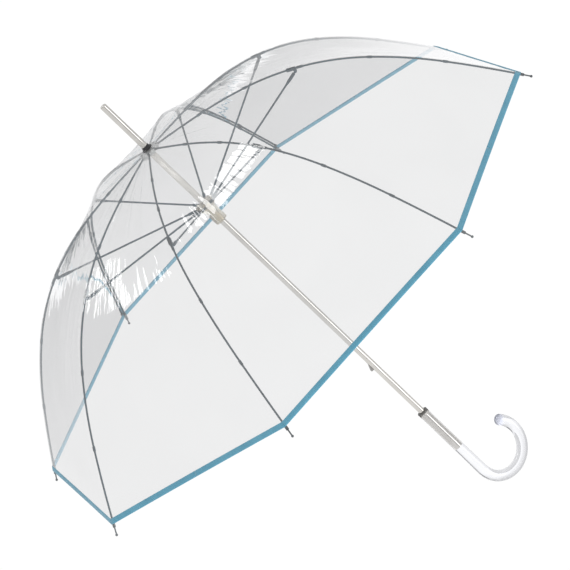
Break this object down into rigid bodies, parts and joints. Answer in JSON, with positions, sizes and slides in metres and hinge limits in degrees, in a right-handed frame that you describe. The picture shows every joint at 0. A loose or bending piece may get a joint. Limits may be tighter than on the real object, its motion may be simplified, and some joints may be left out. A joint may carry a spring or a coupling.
{
  "type": "clear bubble umbrella",
  "caption": "Open dome umbrella with a see-through film canopy, dark ribs, a metal shaft and a clear crook handle; the runner folds the frame.",
  "frame": {"origin": "middle of the handle's straight grip, on the shaft's axis", "axes": "+Z along the shaft up to the ferrule, hook in the XZ plane opening towards +X"},
  "size_m": [0.9554, 0.9554, 0.8733],
  "materials": {
    "clear_film": "clear, glossy",
    "tip_metal": "satin",
    "rib_paint": "satin",
    "shaft_metal": "polished",
    "catch_steel": "satin",
    "black_plastic": "gloss",
    "white_plastic": "satin",
    "runner_plastic": "satin",
    "clear_acrylic": "clear, polished",
    "ring_plastic": "gloss"
  },
  "bodies": {
    "shaft": {"shaft_tube": "shaft_metal", "ferrule": "shaft_metal", "crown_cap": "black_plastic", "crown_disc": "clear_film", "notch": "white_plastic", "handle": "clear_acrylic", "handle_ring": "ring_plastic", "catch_pins": "catch_steel"},
    "runner": {"runner": "runner_plastic"},
    "catch_upper": {"catch_upper": "catch_steel"},
    "catch_lower": {"catch_lower": "catch_steel"},
    "upper_1": {"rib_upper_1": "rib_paint", "film_upper_1": "clear_film"},
    "lower_1": {"rib_lower_1": "rib_paint", "rib_tip_1": "tip_metal", "film_lower_1": "clear_film"},
    "stretcher_1": {"stretcher_1": "rib_paint"},
    "upper_2": {"rib_upper_2": "rib_paint", "film_upper_2": "clear_film"},
    "lower_2": {"rib_lower_2": "rib_paint", "rib_tip_2": "tip_metal", "film_lower_2": "clear_film"},
    "stretcher_2": {"stretcher_2": "rib_paint"},
    "upper_3": {"rib_upper_3": "rib_paint", "film_upper_3": "clear_film"},
    "lower_3": {"rib_lower_3": "rib_paint", "rib_tip_3": "tip_metal", "film_lower_3": "clear_film"},
    "stretcher_3": {"stretcher_3": "rib_paint"},
    "upper_4": {"rib_upper_4": "rib_paint", "film_upper_4": "clear_film"},
    "lower_4": {"rib_lower_4": "rib_paint", "rib_tip_4": "tip_metal", "film_lower_4": "clear_film"},
    "stretcher_4": {"stretcher_4": "rib_paint"},
    "upper_5": {"rib_upper_5": "rib_paint", "film_upper_5": "clear_film"},
    "lower_5": {"rib_lower_5": "rib_paint", "rib_tip_5": "tip_metal", "film_lower_5": "clear_film"},
    "stretcher_5": {"stretcher_5": "rib_paint"},
    "upper_6": {"rib_upper_6": "rib_paint", "film_upper_6": "clear_film"},
    "lower_6": {"rib_lower_6": "rib_paint", "rib_tip_6": "tip_metal", "film_lower_6": "clear_film"},
    "stretcher_6": {"stretcher_6": "rib_paint"},
    "upper_7": {"rib_upper_7": "rib_paint", "film_upper_7": "clear_film"},
    "lower_7": {"rib_lower_7": "rib_paint", "rib_tip_7": "tip_metal", "film_lower_7": "clear_film"},
    "stretcher_7": {"stretcher_7": "rib_paint"},
    "upper_8": {"rib_upper_8": "rib_paint", "film_upper_8": "clear_film"},
    "lower_8": {"rib_lower_8": "rib_paint", "rib_tip_8": "tip_metal", "film_lower_8": "clear_film"},
    "stretcher_8": {"stretcher_8": "rib_paint"}
  },
  "joints": [
    {"name": "runner_slide", "type": "slide", "parent": "shaft", "child": "runner", "axis": [0, 0, -1], "range_m": [0, 0.34868]},
    {"name": "rib_hinge_1", "type": "hinge", "parent": "shaft", "child": "upper_1", "pos_m": [0.01388, 0.00183, 0.658], "axis": [-0.1305, 0.9914, 0], "range_deg": [0, 75.7], "deforming": ["film_upper_1"]},
    {"name": "rib_bend_1", "type": "hinge", "parent": "upper_1", "child": "lower_1", "pos_m": [0.23896, 0.03146, 0.60721], "axis": [-0.1305, 0.9914, 0], "range_deg": [-32.45, 0], "deforming": ["film_lower_1"]},
    {"name": "stretcher_hinge_1", "type": "hinge", "parent": "upper_1", "child": "stretcher_1", "pos_m": [0.23695, 0.0312, 0.60308], "axis": [-0.1305, 0.9914, 0], "range_deg": [-149.19, 0]},
    {"name": "rib_hinge_2", "type": "hinge", "parent": "shaft", "child": "upper_2", "pos_m": [0.00852, 0.01111, 0.658], "axis": [-0.7934, 0.6088, 0], "range_deg": [0, 75.7], "deforming": ["film_upper_2"]},
    {"name": "rib_bend_2", "type": "hinge", "parent": "upper_2", "child": "lower_2", "pos_m": [0.14672, 0.19121, 0.60721], "axis": [-0.7934, 0.6088, 0], "range_deg": [-32.45, 0], "deforming": ["film_lower_2"]},
    {"name": "stretcher_hinge_2", "type": "hinge", "parent": "upper_2", "child": "stretcher_2", "pos_m": [0.14549, 0.18961, 0.60308], "axis": [-0.7934, 0.6088, 0], "range_deg": [-149.19, 0]},
    {"name": "rib_hinge_3", "type": "hinge", "parent": "shaft", "child": "upper_3", "pos_m": [-0.00183, 0.01388, 0.658], "axis": [-0.9914, -0.1305, 0], "range_deg": [0, 75.7], "deforming": ["film_upper_3"]},
    {"name": "rib_bend_3", "type": "hinge", "parent": "upper_3", "child": "lower_3", "pos_m": [-0.03146, 0.23896, 0.60721], "axis": [-0.9914, -0.1305, 0], "range_deg": [-32.45, 0], "deforming": ["film_lower_3"]},
    {"name": "stretcher_hinge_3", "type": "hinge", "parent": "upper_3", "child": "stretcher_3", "pos_m": [-0.0312, 0.23695, 0.60308], "axis": [-0.9914, -0.1305, 0], "range_deg": [-149.19, 0]},
    {"name": "rib_hinge_4", "type": "hinge", "parent": "shaft", "child": "upper_4", "pos_m": [-0.01111, 0.00852, 0.658], "axis": [-0.6088, -0.7934, 0], "range_deg": [0, 75.7], "deforming": ["film_upper_4"]},
    {"name": "rib_bend_4", "type": "hinge", "parent": "upper_4", "child": "lower_4", "pos_m": [-0.19121, 0.14672, 0.60721], "axis": [-0.6088, -0.7934, 0], "range_deg": [-32.45, 0], "deforming": ["film_lower_4"]},
    {"name": "stretcher_hinge_4", "type": "hinge", "parent": "upper_4", "child": "stretcher_4", "pos_m": [-0.18961, 0.14549, 0.60308], "axis": [-0.6088, -0.7934, 0], "range_deg": [-149.19, 0]},
    {"name": "rib_hinge_5", "type": "hinge", "parent": "shaft", "child": "upper_5", "pos_m": [-0.01388, -0.00183, 0.658], "axis": [0.1305, -0.9914, 0], "range_deg": [0, 75.7], "deforming": ["film_upper_5"]},
    {"name": "rib_bend_5", "type": "hinge", "parent": "upper_5", "child": "lower_5", "pos_m": [-0.23896, -0.03146, 0.60721], "axis": [0.1305, -0.9914, 0], "range_deg": [-32.45, 0], "deforming": ["film_lower_5"]},
    {"name": "stretcher_hinge_5", "type": "hinge", "parent": "upper_5", "child": "stretcher_5", "pos_m": [-0.23695, -0.0312, 0.60308], "axis": [0.1305, -0.9914, 0], "range_deg": [-149.19, 0]},
    {"name": "rib_hinge_6", "type": "hinge", "parent": "shaft", "child": "upper_6", "pos_m": [-0.00852, -0.01111, 0.658], "axis": [0.7934, -0.6088, 0], "range_deg": [0, 75.7], "deforming": ["film_upper_6"]},
    {"name": "rib_bend_6", "type": "hinge", "parent": "upper_6", "child": "lower_6", "pos_m": [-0.14672, -0.19121, 0.60721], "axis": [0.7934, -0.6088, 0], "range_deg": [-32.45, 0], "deforming": ["film_lower_6"]},
    {"name": "stretcher_hinge_6", "type": "hinge", "parent": "upper_6", "child": "stretcher_6", "pos_m": [-0.14549, -0.18961, 0.60308], "axis": [0.7934, -0.6088, 0], "range_deg": [-149.19, 0]},
    {"name": "rib_hinge_7", "type": "hinge", "parent": "shaft", "child": "upper_7", "pos_m": [0.00183, -0.01388, 0.658], "axis": [0.9914, 0.1305, 0], "range_deg": [0, 75.7], "deforming": ["film_upper_7"]},
    {"name": "rib_bend_7", "type": "hinge", "parent": "upper_7", "child": "lower_7", "pos_m": [0.03146, -0.23896, 0.60721], "axis": [0.9914, 0.1305, 0], "range_deg": [-32.45, 0], "deforming": ["film_lower_7"]},
    {"name": "stretcher_hinge_7", "type": "hinge", "parent": "upper_7", "child": "stretcher_7", "pos_m": [0.0312, -0.23695, 0.60308], "axis": [0.9914, 0.1305, 0], "range_deg": [-149.19, 0]},
    {"name": "rib_hinge_8", "type": "hinge", "parent": "shaft", "child": "upper_8", "pos_m": [0.01111, -0.00852, 0.658], "axis": [0.6088, 0.7934, 0], "range_deg": [0, 75.7], "deforming": ["film_upper_8"]},
    {"name": "rib_bend_8", "type": "hinge", "parent": "upper_8", "child": "lower_8", "pos_m": [0.19121, -0.14672, 0.60721], "axis": [0.6088, 0.7934, 0], "range_deg": [-32.45, 0], "deforming": ["film_lower_8"]},
    {"name": "stretcher_hinge_8", "type": "hinge", "parent": "upper_8", "child": "stretcher_8", "pos_m": [0.18961, -0.14549, 0.60308], "axis": [0.6088, 0.7934, 0], "range_deg": [-149.19, 0]},
    {"name": "catch_upper_press", "type": "hinge", "parent": "shaft", "child": "catch_upper", "pos_m": [0, 0, 0.504], "axis": [0.2588, 0.9659, 0], "range_deg": [0, 12], "stiffness_Nm_per_rad": 0.25, "springref_deg": -11.46},
    {"name": "catch_lower_press", "type": "hinge", "parent": "shaft", "child": "catch_lower", "pos_m": [0, 0, 0.194], "axis": [-0.2588, -0.9659, 0], "range_deg": [0, 12], "stiffness_Nm_per_rad": 0.25, "springref_deg": -11.46}
  ],
  "couplings": [
    {"joint": "rib_hinge_1", "follows": "runner_slide", "rad_per_m": 3.7886},
    {"joint": "rib_bend_1", "follows": "runner_slide", "rad_per_m": -1.6236},
    {"joint": "stretcher_hinge_1", "follows": "runner_slide", "rad_per_m": -7.4671},
    {"joint": "rib_hinge_2", "follows": "runner_slide", "rad_per_m": 3.7886},
    {"joint": "rib_bend_2", "follows": "runner_slide", "rad_per_m": -1.6236},
    {"joint": "stretcher_hinge_2", "follows": "runner_slide", "rad_per_m": -7.4671},
    {"joint": "rib_hinge_3", "follows": "runner_slide", "rad_per_m": 3.7886},
    {"joint": "rib_bend_3", "follows": "runner_slide", "rad_per_m": -1.6236},
    {"joint": "stretcher_hinge_3", "follows": "runner_slide", "rad_per_m": -7.4671},
    {"joint": "rib_hinge_4", "follows": "runner_slide", "rad_per_m": 3.7886},
    {"joint": "rib_bend_4", "follows": "runner_slide", "rad_per_m": -1.6236},
    {"joint": "stretcher_hinge_4", "follows": "runner_slide", "rad_per_m": -7.4671},
    {"joint": "rib_hinge_5", "follows": "runner_slide", "rad_per_m": 3.7886},
    {"joint": "rib_bend_5", "follows": "runner_slide", "rad_per_m": -1.6236},
    {"joint": "stretcher_hinge_5", "follows": "runner_slide", "rad_per_m": -7.4671},
    {"joint": "rib_hinge_6", "follows": "runner_slide", "rad_per_m": 3.7886},
    {"joint": "rib_bend_6", "follows": "runner_slide", "rad_per_m": -1.6236},
    {"joint": "stretcher_hinge_6", "follows": "runner_slide", "rad_per_m": -7.4671},
    {"joint": "rib_hinge_7", "follows": "runner_slide", "rad_per_m": 3.7886},
    {"joint": "rib_bend_7", "follows": "runner_slide", "rad_per_m": -1.6236},
    {"joint": "stretcher_hinge_7", "follows": "runner_slide", "rad_per_m": -7.4671},
    {"joint": "rib_hinge_8", "follows": "runner_slide", "rad_per_m": 3.7886},
    {"joint": "rib_bend_8", "follows": "runner_slide", "rad_per_m": -1.6236},
    {"joint": "stretcher_hinge_8", "follows": "runner_slide", "rad_per_m": -7.4671}
  ]
}
